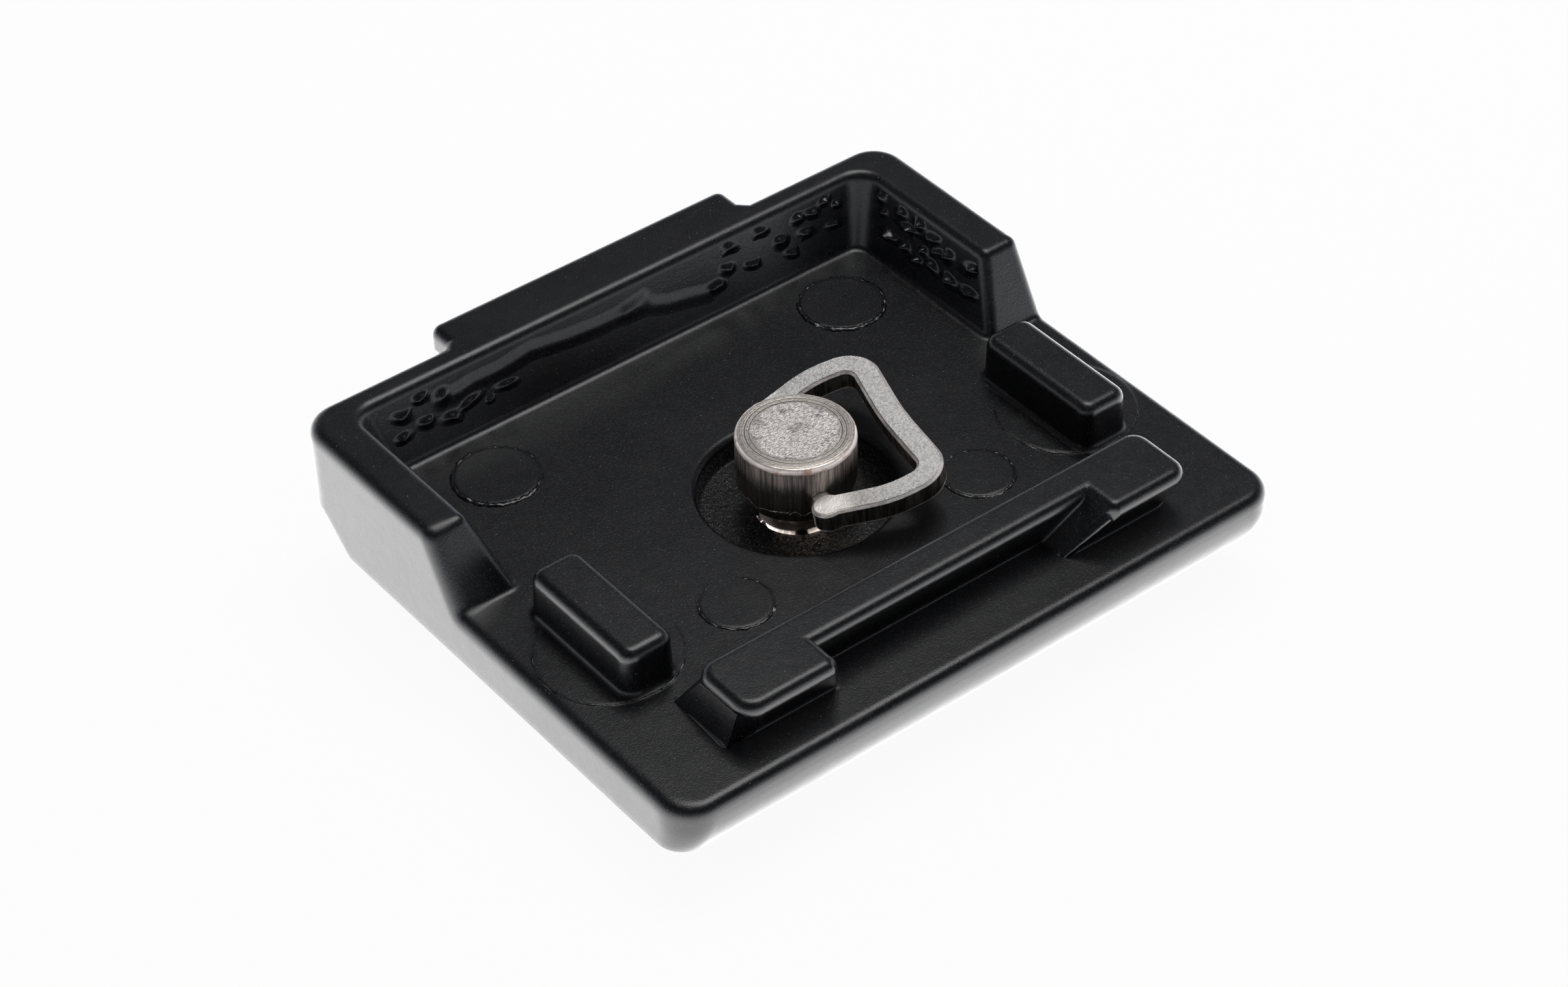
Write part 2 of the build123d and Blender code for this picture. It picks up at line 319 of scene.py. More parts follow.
# grainy nickel on the ring: pale pitted faces, edges painted brighter as highlight and wear, flanks painted
# darker as shade
ringLook = {
    "pale": (1.0, 0.965, 0.915, 1.0),
    "pit": (0.50, 0.475, 0.445, 1.0),
    # edge: brighter edges, a painted highlight with wear
    "edge": (0.86, 0.80, 0.74, 1.0),
    # colours of the flanks, darkened as painted shade
    "side": (0.36, 0.32, 0.285, 1.0),
    "sideShadeDark": (0.13, 0.112, 0.098, 1.0),
    "faceFade": (0.92, 0.97), "edgeFade": (0.62, 0.74), "hubFade": (0.6, 2.4),
    "grain": {"scale": 6.5, "detail": 3.0, "roughness": 0.7}, "grainFade": (0.58, 0.72),
    "patch": {"scale": 0.7, "detail": 3.0}, "patchFade": (0.35, 0.60),
    "stroke": {"scale": 1.0, "detail": 4.0, "roughness": 0.7},
    "strokeStretch": (3.2, 3.2, 0.25), "strokeFade": (0.40, 0.60),
    "cells": 7.5, "cellPower": 1.6,
    "darkens": {"cells": 0.8, "grain": 0.4}, "hubSmooth": 0.8, "edgeHighlightShare": 0.5,
    "roughness": 0.35, "roughens": {"patch": 0.10, "hub": 0.03},
    "heights": {"grain": 5.0, "cells": 1.2, "patch": 1.5, "edge": 2.5, "stroke": 0.8},
    "bump": 0.03 * mm,
}


def grainyNickel():
    look = ringLook
    dark, rough, heights = look["darkens"], look["roughens"], look["heights"]
    shade, skin = newSkin("grainy_nickel", {"Metallic": 1.0})
    place = shade.millimetres()
    x, y, z = shade.axes(place)
    # height over the middle plane of the ring, which lies turned and tilted
    yaw, tilt = ringPivot["yaw"], ringPivot["tilt"]
    along = x * math.cos(yaw) + y * math.sin(yaw)
    level = ((z - ringPivot["z"]) * math.cos(tilt) - along * math.sin(tilt)).math("ABSOLUTE")
    face = level.ease(*look["faceFade"])
    edge = level.ease(*look["edgeFade"]) * (1 - face)
    hub = 1 - along.ease(*look["hubFade"])
    pitted = 1 - hub * look["hubSmooth"]
    grain = shade.noise(place, **look["grain"])
    patch = shade.noise(place, **look["patch"])
    stroke = shade.noise(shade.stretched(place, look["strokeStretch"]), **look["stroke"])
    lots = shade.lots(place, look["cells"])
    pits = lots ** look["cellPower"] * dark["cells"] + grain.ease(*look["grainFade"]) * dark["grain"]
    # painted shade: the flanks are much darker than the faces, where they mirror the black plate; the
    # streaks are the metal's own
    flankShade = shade.blendColour(stroke.ease(*look["strokeFade"]), look["side"], look["sideShadeDark"])
    colour = shade.blendColour(face, flankShade, shade.blendColour(pits * pitted, look["pale"], look["pit"]))
    # painted highlight along the edges, in patches like wear
    edgeHighlightAndWear = look["edgeHighlightShare"] + (1 - look["edgeHighlightShare"]) * patch.ease(*look["patchFade"])
    colour = shade.blendColour(edge * edgeHighlightAndWear, colour, look["edge"])
    roughness = look["roughness"] + rough["patch"] * patch + rough["hub"] * hub
    height = face * pitted * (grain * heights["grain"] + lots * heights["cells"]) + patch * heights["patch"]
    height = height + edge * grain * heights["edge"] + (1 - face) * stroke * heights["stroke"]
    return dress(shade, skin, colour, roughness, shade.bump(height, look["bump"]))


# spring steel of the clip, oily, and rubber of the pad, with bloom: two colours in blotches
steelLook = {
    "colours": [(0.22, 0.21, 0.20, 1.0), (0.12, 0.115, 0.11, 1.0)],
    "fixed": {"Metallic": 1.0},
    "blotch": {"scale": 0.8, "detail": 3.0}, "fine": {"scale": 6.0, "detail": 3.0},
    "roughness": 0.28, "blotchRoughness": 0.2, "bump": 0.02 * mm,
}
rubberLook = {
    "colours": [(0.020, 0.020, 0.020, 1.0), (0.034, 0.033, 0.032, 1.0)],
    "fixed": {"Specular IOR Level": 0.35},
    "blotch": {"scale": 0.25, "detail": 4.0, "roughness": 0.6}, "fine": {"scale": 5.0, "detail": 2.0},
    "roughness": 0.62, "blotchRoughness": 0.2, "bump": 0.03 * mm,
}


def blotched(name, look):
    shade, skin = newSkin(name, look["fixed"])
    place = shade.millimetres()
    blotch = shade.noise(place, **look["blotch"])
    colour = shade.blendColour(blotch, *look["colours"])
    roughness = look["roughness"] + look["blotchRoughness"] * blotch
    fine = shade.noise(place, **look["fine"])
    return dress(shade, skin, colour, roughness, shade.bump(fine, look["bump"]))


paint = blackPaint("black_paint", paintLook["softEdge"], paintLook["roughness"])
reliefPaint = blackPaint("black_paint_relief", None, paintLook["reliefRoughness"])
# paint of the foot bead, lighter: partly rubbed, partly a painted highlight
rubbedHighlightPaint = blackPaint("black_paint_rubbed_highlight", None, paintLook["rubbedHighlightRoughness"], "rubbedHighlight")
nickel = turnedNickel()
rubber = blotched("black_rubber", rubberLook)
nodeSkins = {"plate_body": paint, "camera_screw": nickel, "d_ring": grainyNickel(),
             "retaining_clip": blotched("spring_steel", steelLook), "rubber_pad": rubber}
for nodeName, nodeSkin in nodeSkins.items():
    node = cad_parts[nodeName]
    node.data.materials.clear()
    node.data.materials.append(nodeSkin)
print("materials made", len(nodeSkins))

weldGap = 0.002  # vertices closer than this become one
nearly = 0.01  # places closer than this count as the same


def selectOnly(*pieces):
    if bpy.context.object and bpy.context.object.mode != "OBJECT":
        bpy.ops.object.mode_set(mode="OBJECT")
    bpy.ops.object.select_all(action="DESELECT")
    for piece in pieces:
        piece.select_set(True)
    if pieces:
        bpy.context.view_layer.objects.active = pieces[0]


def edit(piece, selectAll=True):
    selectOnly(piece)
    bpy.ops.object.mode_set(mode="EDIT")
    bpy.ops.mesh.select_mode(type="VERT")
    bpy.ops.mesh.select_all(action="SELECT" if selectAll else "DESELECT")


def pick(piece, wanted):
    # selects the vertices whose place in millimetres answers the question
    edit(piece, False)
    bpy.ops.object.mode_set(mode="OBJECT")
    for vertex in piece.data.vertices:
        vertex.select = bool(wanted(*(piece.matrix_world @ vertex.co / mm)))
    bpy.ops.object.mode_set(mode="EDIT")


def pickEdges(piece, wanted):
    edit(piece, False)
    bpy.ops.mesh.select_mode(type="EDGE")
    bpy.ops.object.mode_set(mode="OBJECT")
    for edge in piece.data.edges:
        ends = [piece.matrix_world @ piece.data.vertices[i].co / mm for i in edge.vertices]
        edge.select = bool(wanted(*ends))
    bpy.ops.object.mode_set(mode="EDIT")


def shape(piece, kind, settings):
    selectOnly(piece)
    change = piece.modifiers.new(kind.lower(), kind)
    for key, value in settings.items():
        setattr(change, key, value)
    bpy.ops.object.modifier_apply(modifier=change.name)


def cut(piece, tool):
    shape(piece, "BOOLEAN", {"operation": "DIFFERENCE", "solver": "EXACT", "object": tool})
    bpy.data.objects.remove(tool)


def fix(piece):
    # place, turn and size go into the mesh
    selectOnly(piece)
    bpy.ops.object.transform_apply(location=True, rotation=True, scale=True)


def settle(piece, smoothAngle=None):
    fix(piece)
    edit(piece)
    bpy.ops.mesh.remove_doubles(threshold=weldGap * mm)
    bpy.ops.mesh.normals_make_consistent(inside=False)
    bpy.ops.object.mode_set(mode="OBJECT")
    if smoothAngle is not None:
        bpy.ops.object.shade_smooth_by_angle(angle=math.radians(smoothAngle))


def finishPiece(piece, name, body, skin, replaced=None):
    piece.name = name
    piece.data.name = name
    piece.data.materials.clear()
    piece.data.materials.append(skin)
    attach(piece, body)
    if replaced:
        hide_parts(replaced)
    selectOnly()


def joined(parts, smoothAngle):
    for part in parts:
        settle(part)
    selectOnly(*parts)
    if len(parts) > 1:
        bpy.ops.object.join()
    bpy.ops.object.shade_smooth_by_angle(angle=math.radians(smoothAngle))
    return parts[0]


def turned(profile, sides):
    # a disc drawn up ring by ring, as on a lathe
    selectOnly()
    radius, height = profile[0]
    bpy.ops.mesh.primitive_circle_add(vertices=sides, radius=radius * mm, fill_type="NGON",
                                      location=(0, 0, height * mm))
    piece = bpy.context.object
    edit(piece)
    for nextRadius, nextHeight in profile[1:]:
        rise = (0, 0, (nextHeight - height) * mm)
        bpy.ops.mesh.extrude_region_move(TRANSFORM_OT_translate={"value": rise})
        grow = nextRadius / radius
        bpy.ops.transform.resize(value=(grow, grow, 1.0), center_override=(0, 0, 0))
        radius, height = nextRadius, nextHeight
    bpy.ops.object.mode_set(mode="OBJECT")
    return piece


# camera screw with its thread, its profiles given as radius and height
screwBuild = {
    "head": [(4.42, 6.3), (4.55, 6.42), (4.86, 7.25), (4.9, 7.36), (4.9, 11.5), (4.88, 11.66),
             (4.80, 11.83), (4.66, 11.95), (4.48, 12.0), (4.24, 12.0), (4.17, 11.988), (4.10, 11.988),
             (4.03, 11.998), (3.74, 11.998), (3.68, 11.984), (3.61, 11.984), (3.55, 11.992), (1.5, 11.992)],
    "core": [(2.3, -2.2), (2.62, -1.9), (2.62, 2.05), (2.37, 2.06), (2.37, 2.84), (2.62, 2.85), (2.62, 6.4)],
    "headSides": 96, "coreSides": 64, "smooth": 32,
    "pitch": 1.27, "root": 2.5, "crest": 3.17, "rootShare": 0.86, "crestWidth": 0.16,
    "threads": [(-1.6, 1.45), (3.5, 5.75)], "stepsPerTurn": 56,
    "headRadius": 4.9, "boreRadius": 1.0, "boreDepth": 2.2, "drillLength": 6.0, "drillSides": 32,
}


def threadRidge(low, high):
    build = screwBuild
    selectOnly()
    middle = (build["root"] + build["crest"]) / 2
    width = build["crest"] - build["root"]
    bpy.ops.mesh.primitive_plane_add(size=width * mm, rotation=(math.pi / 2, 0, 0),
                                     location=(middle * mm, 0, low * mm))
    ridge = bpy.context.object
    pick(ridge, lambda x, y, z: x < middle)
    bpy.ops.transform.resize(value=(1, 1, build["pitch"] * build["rootShare"] / width))
    pick(ridge, lambda x, y, z: x > middle)
    bpy.ops.transform.resize(value=(1, 1, build["crestWidth"] / width))
    edit(ridge)
    bpy.ops.mesh.delete(type="ONLY_FACE")
    fix(ridge)
    turns = (high - low) / build["pitch"]
    steps = int(build["stepsPerTurn"] * turns)
    shape(ridge, "SCREW", {"axis": "Z", "angle": 2 * math.pi * turns, "screw_offset": (high - low) * mm,
                           "iterations": 1, "steps": steps, "render_steps": steps})
    edit(ridge)
    bpy.ops.mesh.fill_holes(sides=0)
    bpy.ops.object.mode_set(mode="OBJECT")
    return ridge


def boreCrossHoles(head):
    build = screwBuild
    yaw = ringPivot["yaw"]
    for side in (-1, 1):
        selectOnly()
        reach = (build["headRadius"] - build["boreDepth"] + build["drillLength"] / 2) * side
        spot = Vector((-math.sin(yaw) * reach, math.cos(yaw) * reach, ringPivot["z"])) * mm
        bpy.ops.mesh.primitive_cylinder_add(vertices=build["drillSides"], radius=build["boreRadius"] * mm,
                                            depth=build["drillLength"] * mm, location=spot,
                                            rotation=(math.pi / 2, 0, yaw))
        cut(head, bpy.context.object)


def cameraScrew():
    build = screwBuild
    head = turned(build["head"], build["headSides"])
    settle(head)
    boreCrossHoles(head)
    core = turned(build["core"], build["coreSides"])
    ridges = [threadRidge(low, high) for low, high in build["threads"]]
    for part in [core] + ridges:
        settle(part)
    selectOnly(head, core, *ridges)
    bpy.ops.object.join()
    bpy.ops.object.shade_smooth_by_angle(angle=math.radians(build["smooth"]))
    finishPiece(head, "turned_screw", "screw", nickel, "camera_screw")


cameraScrew()
print("screw turned")


# ribbed rubber pad on the camera face
padBuild = {
    "left": -27.0, "right": 26.0, "front": -20.3, "back": 18.7, "thickness": 2.0,
    "corner": 2.0, "cornerSteps": 8, "edge": 0.3, "edgeSteps": 2, "smooth": 30,
    "hole": 5.825, "holeSides": 64, "punchLength": 8.0,
    "ribPitch": 2.0, "grooveWidth": 0.9, "grooveDepth": 0.35, "border": 2.2,
    "grooveBottom": (0.992, 0.55, 1.0),  # size of a groove's bottom against its mouth
}


def padBlock(middle, size):
    build = padBuild
    selectOnly()
    bpy.ops.mesh.primitive_cube_add(size=1.0, location=middle * mm, scale=size * mm)
    pad = bpy.context.object
    fix(pad)
    pickEdges(pad, lambda first, second: abs(first.z - second.z) > build["thickness"] / 2)
    bpy.ops.mesh.bevel(offset=build["corner"] * mm, segments=build["cornerSteps"], affect="EDGES")
    pickEdges(pad, lambda first, second: first.z < nearly and second.z < nearly)
    bpy.ops.mesh.bevel(offset=build["edge"] * mm, segments=build["edgeSteps"], affect="EDGES")
    settle(pad)
    return pad


def padGrooves(middle, size):
    build = padBuild
    count = int((size.y - 2 * build["border"]) / build["ribPitch"])
    first = Vector((middle.x, middle.y - (count - 1) * build["ribPitch"] / 2, 0))
    mouth = Vector((size.x - 2 * build["border"], build["grooveWidth"], 2 * build["grooveDepth"]))
    selectOnly()
    bpy.ops.mesh.primitive_cube_add(size=1.0, location=first * mm, scale=mouth * mm)
    groove = bpy.context.object
    fix(groove)
    pick(groove, lambda x, y, z: z > 0)
    bpy.ops.transform.resize(value=build["grooveBottom"])
    shape(groove, "ARRAY", {"count": count, "use_relative_offset": False, "use_constant_offset": True,
                            "constant_offset_displace": (0, build["ribPitch"] * mm, 0)})
    return groove


def ribbedPad():
    build = padBuild
    size = Vector((build["right"] - build["left"], build["back"] - build["front"], build["thickness"]))
    middle = Vector((build["right"] + build["left"], build["back"] + build["front"], build["thickness"])) / 2
    pad = padBlock(middle, size)
    selectOnly()
    bpy.ops.mesh.primitive_cylinder_add(vertices=build["holeSides"], radius=build["hole"] * mm,
                                        depth=build["punchLength"] * mm, location=(0, 0, middle.z * mm))
    cut(pad, bpy.context.object)
    cut(pad, padGrooves(middle, size))
    settle(pad, build["smooth"])
    finishPiece(pad, "ribbed_pad", "plate", rubber, "rubber_pad")


ribbedPad()
print("pad ribbed")


# relief that the mould left on the back wall and the right wall
wallOut, wallUp = 0.9455, 0.3255  # the walls' normal, away from the wall and upward
reliefBuild = {
    "backWall": {"origin": (0.0, 21.8, trayZ), "along": (1, 0, 0), "normal": (0, -wallOut, wallUp)},
    "rightWall": {"origin": (24.1, 0.0, trayZ), "along": (0, -1, 0), "normal": (-wallOut, 0, wallUp)},
    # lumps: place along the wall, height, length, width
    "backLumps": [
        (-22.1, 10.2, 1.7, 0.8), (-20.0, 11.0, 1.3, 0.7), (-18.2, 10.2, 1.6, 1.3), (-20.2, 8.9, 1.3, 0.8),
        (-17.8, 8.4, 1.7, 0.8), (-22.4, 8.6, 1.5, 0.7), (-15.7, 8.9, 2.0, 0.7), (-14.0, 8.3, 0.7, 0.5),
        (-12.3, 8.8, 1.9, 0.6), (11.5, 11.0, 1.5, 0.7), (14.7, 11.1, 1.4, 0.7), (10.7, 9.4, 1.5, 0.8),
        (9.4, 8.5, 1.5, 0.9), (13.2, 8.8, 1.5, 0.6), (16.5, 9.5, 1.3, 0.9), (18.6, 10.7, 1.2, 0.8),
        (17.2, 8.2, 1.2, 0.6), (19.1, 9.3, 1.6, 0.7), (20.1, 10.6, 1.3, 0.7), (21.6, 11.1, 1.2, 0.6),
        (22.0, 8.9, 1.5, 0.6), (22.9, 10.4, 0.9, 0.6)],
    "rightLumps": [
        (-20.8, 11.1, 1.0, 0.9), (-20.1, 10.0, 0.9, 0.6), (-18.0, 10.9, 1.2, 0.8), (-18.8, 8.6, 2.2, 0.7),
        (-16.8, 10.2, 2.6, 0.5), (-15.8, 11.1, 1.2, 0.8), (-14.0, 10.6, 1.7, 0.9), (-16.7, 8.6, 1.3, 0.7),
        (-14.9, 8.2, 1.3, 0.6), (-14.4, 9.3, 0.9, 0.6), (-13.0, 8.6, 1.6, 0.7), (-12.9, 9.9, 1.2, 0.6),
        (-11.5, 10.2, 1.1, 0.9), (-10.7, 8.5, 1.7, 0.7), (-8.9, 10.4, 1.9, 0.9), (-8.3, 8.6, 2.1, 0.7)],
    "backRise": 0.25, "rightRise": 0.38, "riseSpread": (0.8, 1.2),
    "hill": (0.30, 0.32), "hillTurn": 0.4, "hillReach": 2.5,
    "sideHills": 2, "sideHill": (0.17, 0.20), "sideTurn": 0.8, "sidePlace": (0.4, 0.35),
    "sideRise": (0.3, 0.7), "seed": 4,
    "flowLines": [
        [(-17.0, 10.0), (-15.0, 10.25), (-12.4, 10.2), (-9.3, 10.55), (-5.7, 10.1), (-2.7, 9.9), (-0.1, 9.9),
         (2.2, 10.3)],
        [(0.3, 9.8), (2.4, 9.6), (4.3, 9.0), (6.3, 8.7), (8.3, 8.3)]],
    "flowRadius": 0.42, "flowRise": 0.10,
    "mesh": 0.12, "sink": 0.008, "skinThickness": 0.2, "skinLow": 1.2, "skinHigh": 5.7, "smooth": 60,
    "backSpan": (-23.4, 23.4), "rightSpan": (-21.8, -5.6),
    "endFoot": 5.42, "endSlope": 0.534,  # the sloped front end of the right wall
}


def wallFrame(wall):
    along, normal = Vector(wall["along"]), Vector(wall["normal"]).normalized()
    axes = Matrix((along, normal.cross(along), normal)).transposed()
    return Matrix.Translation(Vector(wall["origin"]) * mm) @ axes.to_4x4()


def upWall(height):
    # distance up the sloping wall from the tray floor
    return (height - trayZ) / wallOut


def hillsOf(lumps, fullRise):
    # each lump is one soft hill with smaller ones beside it
    build = reliefBuild
    (longShare, wideShare), (sideLong, sideWide) = build["hill"], build["sideHill"]
    spreadAlong, spreadUp = build["sidePlace"]
    hills = []
    for along, height, length, width in lumps:
        up = upWall(height)
        rise = fullRise * random.uniform(*build["riseSpread"])
        turn = random.uniform(-build["hillTurn"], build["hillTurn"])
        hills.append(((along, up), length * longShare, width * wideShare, turn, rise))
        for hill in range(build["sideHills"]):
            sideAlong = along + random.uniform(-spreadAlong, spreadAlong) * length
            sideUp = up + random.uniform(-spreadUp, spreadUp) * width
            turn = random.uniform(-build["sideTurn"], build["sideTurn"])
            sideRise = rise * random.uniform(*build["sideRise"])
            hills.append(((sideAlong, sideUp), length * sideLong, width * sideWide, turn, sideRise))
    return hills


def hillHeight(hills, along, up):
    total = 0.0
    reach = reliefBuild["hillReach"]
    for (middleAlong, middleUp), long, wide, turn, rise in hills:
        right, over = along - middleAlong, up - middleUp
        if abs(right) < reach and abs(over) < reach:
            lengthwise = (right * math.cos(turn) + over * math.sin(turn)) / long
            crosswise = (over * math.cos(turn) - right * math.sin(turn)) / wide
            total += rise * math.exp(-0.5 * (lengthwise ** 2 + crosswise ** 2))
    return total


def lineHeight(points, along, up):
    # a soft ridge along a line of points
    spot = Vector((along, up))
    near = math.inf
    for first, second in zip(points, points[1:]):
        start, step = Vector(first), Vector(second) - Vector(first)
        share = min(max((spot - start).dot(step) / step.length_squared, 0.0), 1.0)
        near = min(near, (spot - start - step * share).length)
    return reliefBuild["flowRise"] * math.exp(-0.5 * (near / reliefBuild["flowRadius"]) ** 2)


def reliefSkin(wall, span, hills, lines, past=None):
    # a fine grid on the wall, raised where the lumps are and sunk a hair below it elsewhere
    build = reliefBuild
    low, high = build["skinLow"], build["skinHigh"]
    left, right = span
    columns, rows = int((right - left) / build["mesh"]), int((high - low) / build["mesh"])
    middle = Vector(((left + right) / 2, (low + high) / 2, -build["sink"]))
    selectOnly()
    bpy.ops.mesh.primitive_grid_add(x_subdivisions=columns, y_subdivisions=rows, size=1.0)
    skin = bpy.context.object
    edit(skin)
    bpy.ops.transform.resize(value=((right - left) * mm, (high - low) * mm, 1.0), center_override=(0, 0, 0))
    bpy.ops.transform.translate(value=middle * mm)
    bpy.ops.object.mode_set(mode="OBJECT")
    group = skin.vertex_groups.new(name="rise")
    for vertex in skin.data.vertices:
        along, up = vertex.co.x / mm, vertex.co.y / mm
        rise = hillHeight(hills, along, up) + sum(lineHeight(line, along, up) for line in lines)
        group.add([vertex.index], min(rise, 1.0), "REPLACE")
    shape(skin, "DISPLACE", {"strength": mm, "mid_level": 0.0, "vertex_group": "rise", "direction": "Z"})
    if past:
        pick(skin, past)
        bpy.ops.mesh.delete(type="VERT")
        bpy.ops.object.mode_set(mode="OBJECT")
    shape(skin, "SOLIDIFY", {"thickness": build["skinThickness"] * mm, "offset": -1.0})
    skin.vertex_groups.clear()
    skin.matrix_world = wallFrame(wall)
    return skin


def wallRelief():
    build = reliefBuild
    random.seed(build["seed"])
    lines = [[(along, upWall(height)) for along, height in points] for points in build["flowLines"]]
    backHills = hillsOf(build["backLumps"], build["backRise"])
    rightHills = hillsOf(build["rightLumps"], build["rightRise"])
    back = reliefSkin(build["backWall"], build["backSpan"], backHills, lines)
    right = reliefSkin(build["rightWall"], build["rightSpan"], rightHills, [],
                       lambda along, up, out: -along < build["endFoot"] + build["endSlope"] * up)
    relief = joined([back, right], build["smooth"])
    finishPiece(relief, "wall_relief", "plate", reliefPaint)


wallRelief()
print("wall relief made")


# flash round the ejector marks: x, y, radius, size, share of its height that shows
flashBuild = {
    "marks": [(-17.8, 16.4, 3.62, 0.15, 1.0), (17.8, 16.4, 3.62, 0.15, 1.0),
              (-12.25, -8.0, 2.97, 0.09, 0.7), (12.25, -8.0, 2.97, 0.09, 0.7),
              (-23.2, -6.2, 5.87, 0.06, 0.35), (23.2, -6.2, 5.87, 0.06, 0.35)],
    "sides": 8, "section": (1.7, 1.0, 0.75), "lift": 0.02, "steps": 120, "smooth": 75, "seed": 11,
    "shake": 0.45, "shakeEven": 0.3, "shakeOut": 0.2,
    "sectors": 40, "nearSide": math.radians(232), "nearLimit": 0.1,
    "nearDrop": 0.35, "farDrop": (0.30, 1.1), "leastShare": 0.3, "mostRise": 0.3,
}


def flashRing(x, y, radius, size, share):
    build = flashBuild
    start = Vector((x + radius, y, trayZ + build["lift"]))
    selectOnly()
    bpy.ops.mesh.primitive_circle_add(vertices=build["sides"], radius=size * mm, location=start * mm,
                                      rotation=(math.pi / 2, 0, 0))
    ring = bpy.context.object
    fix(ring)
    edit(ring)
    bpy.ops.transform.resize(value=build["section"])
    bpy.ops.mesh.spin(steps=build["steps"], angle=2 * math.pi, center=(x * mm, y * mm, 0), axis=(0, 0, 1))
    bpy.ops.object.mode_set(mode="OBJECT")
    settle(ring)
    edit(ring)
    bpy.ops.transform.vertex_random(offset=size * build["shake"] * mm, uniform=build["shakeEven"],
                                    normal=build["shakeOut"], seed=int(radius * 10) + int(x))
    bpy.ops.object.mode_set(mode="OBJECT")
    step = 2 * math.pi / build["sectors"]

    def sectorOf(spotX, spotY, spotZ):
        return int(math.atan2(spotY - y, spotX - x) % (2 * math.pi) / step)

    for sector in range(build["sectors"]):
        # full on the near side, worn away or missing on the far side
        if math.cos((sector + 0.5) * step - build["nearSide"]) > build["nearLimit"]:
            drop = random.uniform(-build["nearDrop"], build["nearDrop"])
        else:
            drop = random.uniform(*build["farDrop"])
        drop = max(drop * size / max(share, build["leastShare"]), -build["mostRise"] * size)
        pick(ring, lambda *place: sectorOf(*place) == sector)
        bpy.ops.transform.translate(value=(0, 0, -drop * mm))
    bpy.ops.object.mode_set(mode="OBJECT")
    return ring


def ejectorFlash():
    flash = joined([flashRing(*mark) for mark in flashBuild["marks"]], flashBuild["smooth"])
    finishPiece(flash, "ejector_flash", "plate", reliefPaint)


# bead of paint at the foot of the left bar end, in lighter paint that is partly rubbed and partly a painted
# highlight
beadBuild = {
    "points": [(-22.15, -13.3), (-22.2, -13.7), (-22.25, -15.4), (-22.4, -17.2), (-22.5, -18.9),
               (-22.55, -19.9), (-22.5, -20.2)],
    "radius": 0.40, "rise": 0.20, "sides": 12, "endSize": 0.25, "sizeSpread": (0.8, 1.1), "levels": 2,
    "smooth": 60,
}


def footBead():
    # a low sausage drawn along a line of points
    build = beadBuild
    points = [Vector((x, y, 0)) * mm for x, y in build["points"]]
    radius, size = build["radius"], build["endSize"]
    selectOnly()
    bpy.ops.mesh.primitive_circle_add(vertices=build["sides"], radius=radius * size * mm, fill_type="NGON",
                                      rotation=(math.pi / 2, 0, 0), location=points[0])
    bead = bpy.context.object
    fix(bead)
    edit(bead)
    for last, point in zip(points, points[1:]):
        nextSize = build["endSize"] if point is points[-1] else random.uniform(*build["sizeSpread"])
        bpy.ops.mesh.extrude_region_move(TRANSFORM_OT_translate={"value": point - last})
        bpy.ops.transform.resize(value=(nextSize / size,) * 3, center_override=point)
        size = nextSize
    edit(bead)
    bpy.ops.transform.resize(value=(1, 1, build["rise"] / radius), center_override=(0, 0, 0))
    bpy.ops.object.mode_set(mode="OBJECT")
    shape(bead, "SUBSURF", {"levels": build["levels"]})
    bead.matrix_world = Matrix.Translation((0, 0, trayZ * mm))
    finishPiece(joined([bead], build["smooth"]), "foot_beads", "plate", rubbedHighlightPaint)


# corners of the bar's two ends
barBuild = {
    "ridgeLow": (10.7, -20.2, trayZ), "ridgeHigh": (14.7, -22.3, 10.4),
    "width": 1.0, "taper": 0.85, "reach": 0.79, "proud": 0.012, "round": 0.32, "roundSteps": 5, "smooth": 30,
    # corners of the left foot by left or right, front or back, low or high
    "foot": {
        (0, 0, 0): (-22.64, -20.26, 6.15), (1, 0, 0): (-20.10, -20.26, 6.15),
        (0, 1, 0): (-22.64, -13.70, 6.15), (1, 1, 0): (-20.60, -15.10, 6.15),
        (0, 0, 1): (-21.92, -20.75, 9.55), (1, 0, 1): (-20.30, -21.76, 9.15),
        (0, 1, 1): (-21.92, -16.30, 9.55), (1, 1, 1): (-20.60, -15.60, 9.55),
    },
}


def endRidge():
    # the sharp slanted corner of the right bar end
    build = barBuild
    selectOnly()
    bpy.ops.mesh.primitive_cone_add(vertices=3, radius1=mm, radius2=mm, depth=2 * mm)
    ridge = bpy.context.object
    low, high = Vector(build["ridgeLow"]), Vector(build["ridgeHigh"])
    slope = (high - low).normalized()
    ways = Vector((0, 1, 0)), Vector((1, 0, 0))
    back, right = [(way - way.dot(slope) * slope).normalized() for way in ways]
    out = -(back + right).normalized() * build["proud"]
    ends = [[vertex for vertex in ridge.data.vertices if vertex.co.z * level > 0] for level in (-1, 1)]
    spots = (low, low.lerp(high, build["reach"]))
    widths = (build["width"], build["width"] * build["taper"])
    for end, spot, width in zip(ends, spots, widths):
        corners = [spot + out, spot + back * width + out, spot + right * width + out]
        for vertex, corner in zip(end, corners):
            vertex.co = corner * mm
    tips = [end[0].co / mm for end in ends]
    pick(ridge, lambda *place: any((Vector(place) - tip).length < nearly for tip in tips))
    bpy.ops.mesh.bevel(offset=build["round"] * mm, segments=build["roundSteps"], affect="EDGES")
    bpy.ops.object.mode_set(mode="OBJECT")
    return ridge


def footFairing():
    # the sharp spread foot of the left bar end, a cube with its corners drawn to their places
    selectOnly()
    bpy.ops.mesh.primitive_cube_add(size=2 * mm)
    foot = bpy.context.object
    for vertex in foot.data.vertices:
        vertex.co = Vector(barBuild["foot"][tuple(int(value > 0) for value in vertex.co)]) * mm
    return foot


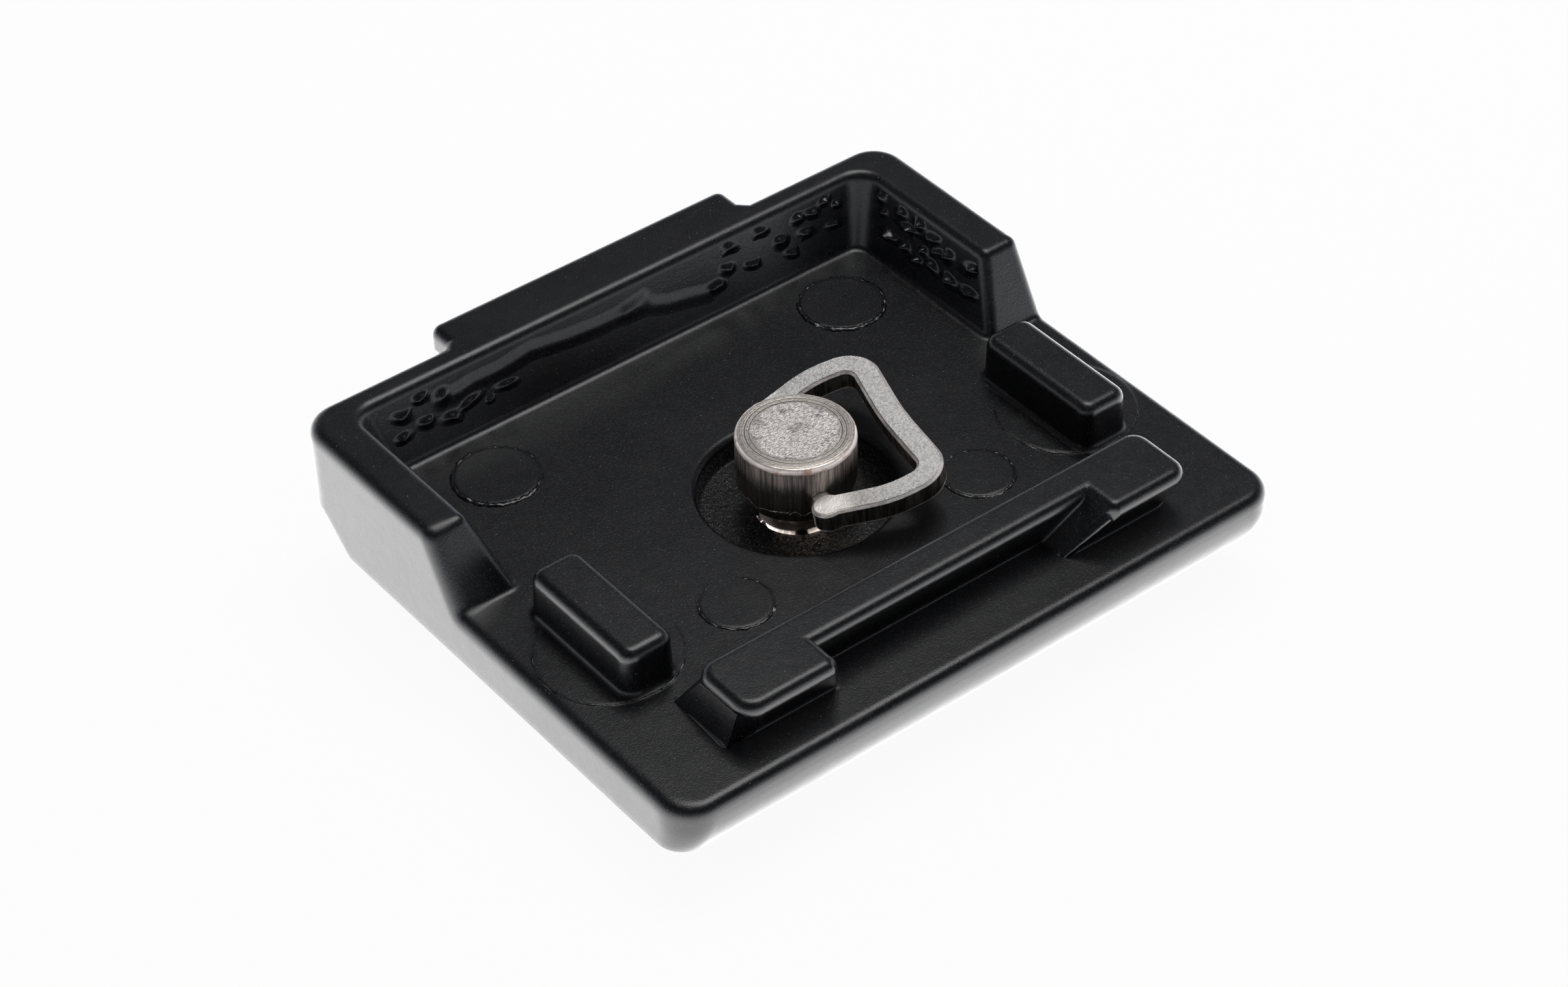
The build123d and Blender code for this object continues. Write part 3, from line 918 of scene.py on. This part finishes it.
def barCorners():
    corners = joined([endRidge(), footFairing()], barBuild["smooth"])
    finishPiece(corners, "bar_corners", "plate", reliefPaint)


random.seed(flashBuild["seed"])
ejectorFlash()
footBead()
barCorners()
print("floor relief made")


# floor, light and camera, with places and sizes in metres and turns in degrees
studio = {
    "floorZ": -2.2 * mm, "floorSize": 6.0, "floorColour": grey(0.95), "floorWhite": 0.94,
    "glareNear": 4.0, "glareFar": 1.1, "glareFade": (45.0, 330.0),  # fade in millimetres from the axis
    "ambient": 0.36, "horizon": 2.2, "overhead": 0.07, "skyFade": (-0.02, 0.40),
    "skyTint": (0.96, 0.98, 1.06, 1.0),
    "lampPlace": (0.16, 0.09, 0.50), "lampSize": (0.30, 0.22), "lampPower": 1.25,
    "cameraPlace": (-0.1442189, -0.1884839, 0.2075453), "cameraTurn": (49.5814, 1.1534, -38.1512),
    "sensorWidth": 36.0, "focalLength": 89.2514, "clipStart": 0.01,
}


def paleFloor():
    selectOnly()
    bpy.ops.mesh.primitive_plane_add(size=studio["floorSize"], location=(0, 0, studio["floorZ"]))
    floor = bpy.context.object
    floor.name = "pale_floor"
    shade = Shade(bpy.data.materials.new("pale_floor"))
    shade.tree.nodes.clear()
    x, y = shade.axes(shade.millimetres())[:2]
    far = fromAxis(x, y).ease(*studio["glareFade"])
    camera, mirrored, through = shade.rays("Camera", "Glossy", "Transmission")
    seen = (camera + mirrored + through).math("MINIMUM", 1.0)
    matt = shade.node("ShaderNodeBsdfDiffuse", {}, {"Color": studio["floorColour"]})
    glare = shade.mixed(far, shade.glow(studio["glareNear"]), shade.glow(studio["glareFar"]))
    shown = shade.mixed(mirrored, shade.glow(1.0), glare)
    both = shade.mixed(seen * studio["floorWhite"], matt, shown)
    shade.node("ShaderNodeOutputMaterial", {}, {"Surface": both})
    floor.data.materials.append(shade.owner)


def softSurround():
    # white to the camera, even on matt paint, brightest at the horizon in reflections
    world = bpy.data.worlds.new("surround")
    bpy.context.scene.world = world
    shade = Shade(world)
    shade.tree.nodes.clear()
    height = shade.axes(shade.node("ShaderNodeTexCoord", out="Generated"))[2]
    low = 1 - height.ease(*studio["skyFade"])
    camera, mirrored = shade.rays("Camera", "Glossy")
    overhead, horizon = [shade.backdrop(studio[part], studio["skyTint"]) for part in ("overhead", "horizon")]
    plain = shade.mixed(camera, shade.backdrop(studio["ambient"], grey(1.0)), shade.backdrop(1.0, grey(1.0)))
    whole = shade.mixed(mirrored, plain, shade.mixed(low, overhead, horizon))
    shade.node("ShaderNodeOutputWorld", {}, {"Surface": whole})


def topSoftbox():
    lamp = bpy.data.lights.new("top_softbox", "AREA")
    lamp.shape = "RECTANGLE"
    lamp.size, lamp.size_y = studio["lampSize"]
    lamp.energy = studio["lampPower"]
    holder = bpy.data.objects.new("top_softbox", lamp)
    bpy.context.scene.collection.objects.link(holder)
    place = Vector(studio["lampPlace"])
    holder.matrix_world = Matrix.Translation(place) @ place.to_track_quat("Z", "Y").to_matrix().to_4x4()


def photoCamera():
    lens = bpy.data.cameras.new("photo_camera")
    lens.sensor_width = studio["sensorWidth"]
    lens.sensor_fit = "HORIZONTAL"
    lens.lens = studio["focalLength"]
    lens.clip_start = studio["clipStart"]
    holder = bpy.data.objects.new("photo_camera", lens)
    bpy.context.scene.collection.objects.link(holder)
    holder.location = studio["cameraPlace"]
    holder.rotation_euler = [math.radians(angle) for angle in studio["cameraTurn"]]
    bpy.context.scene.camera = holder


paleFloor()
softSurround()
topSoftbox()
photoCamera()
bpy.context.scene.view_settings.view_transform = "Standard"
print("studio set")
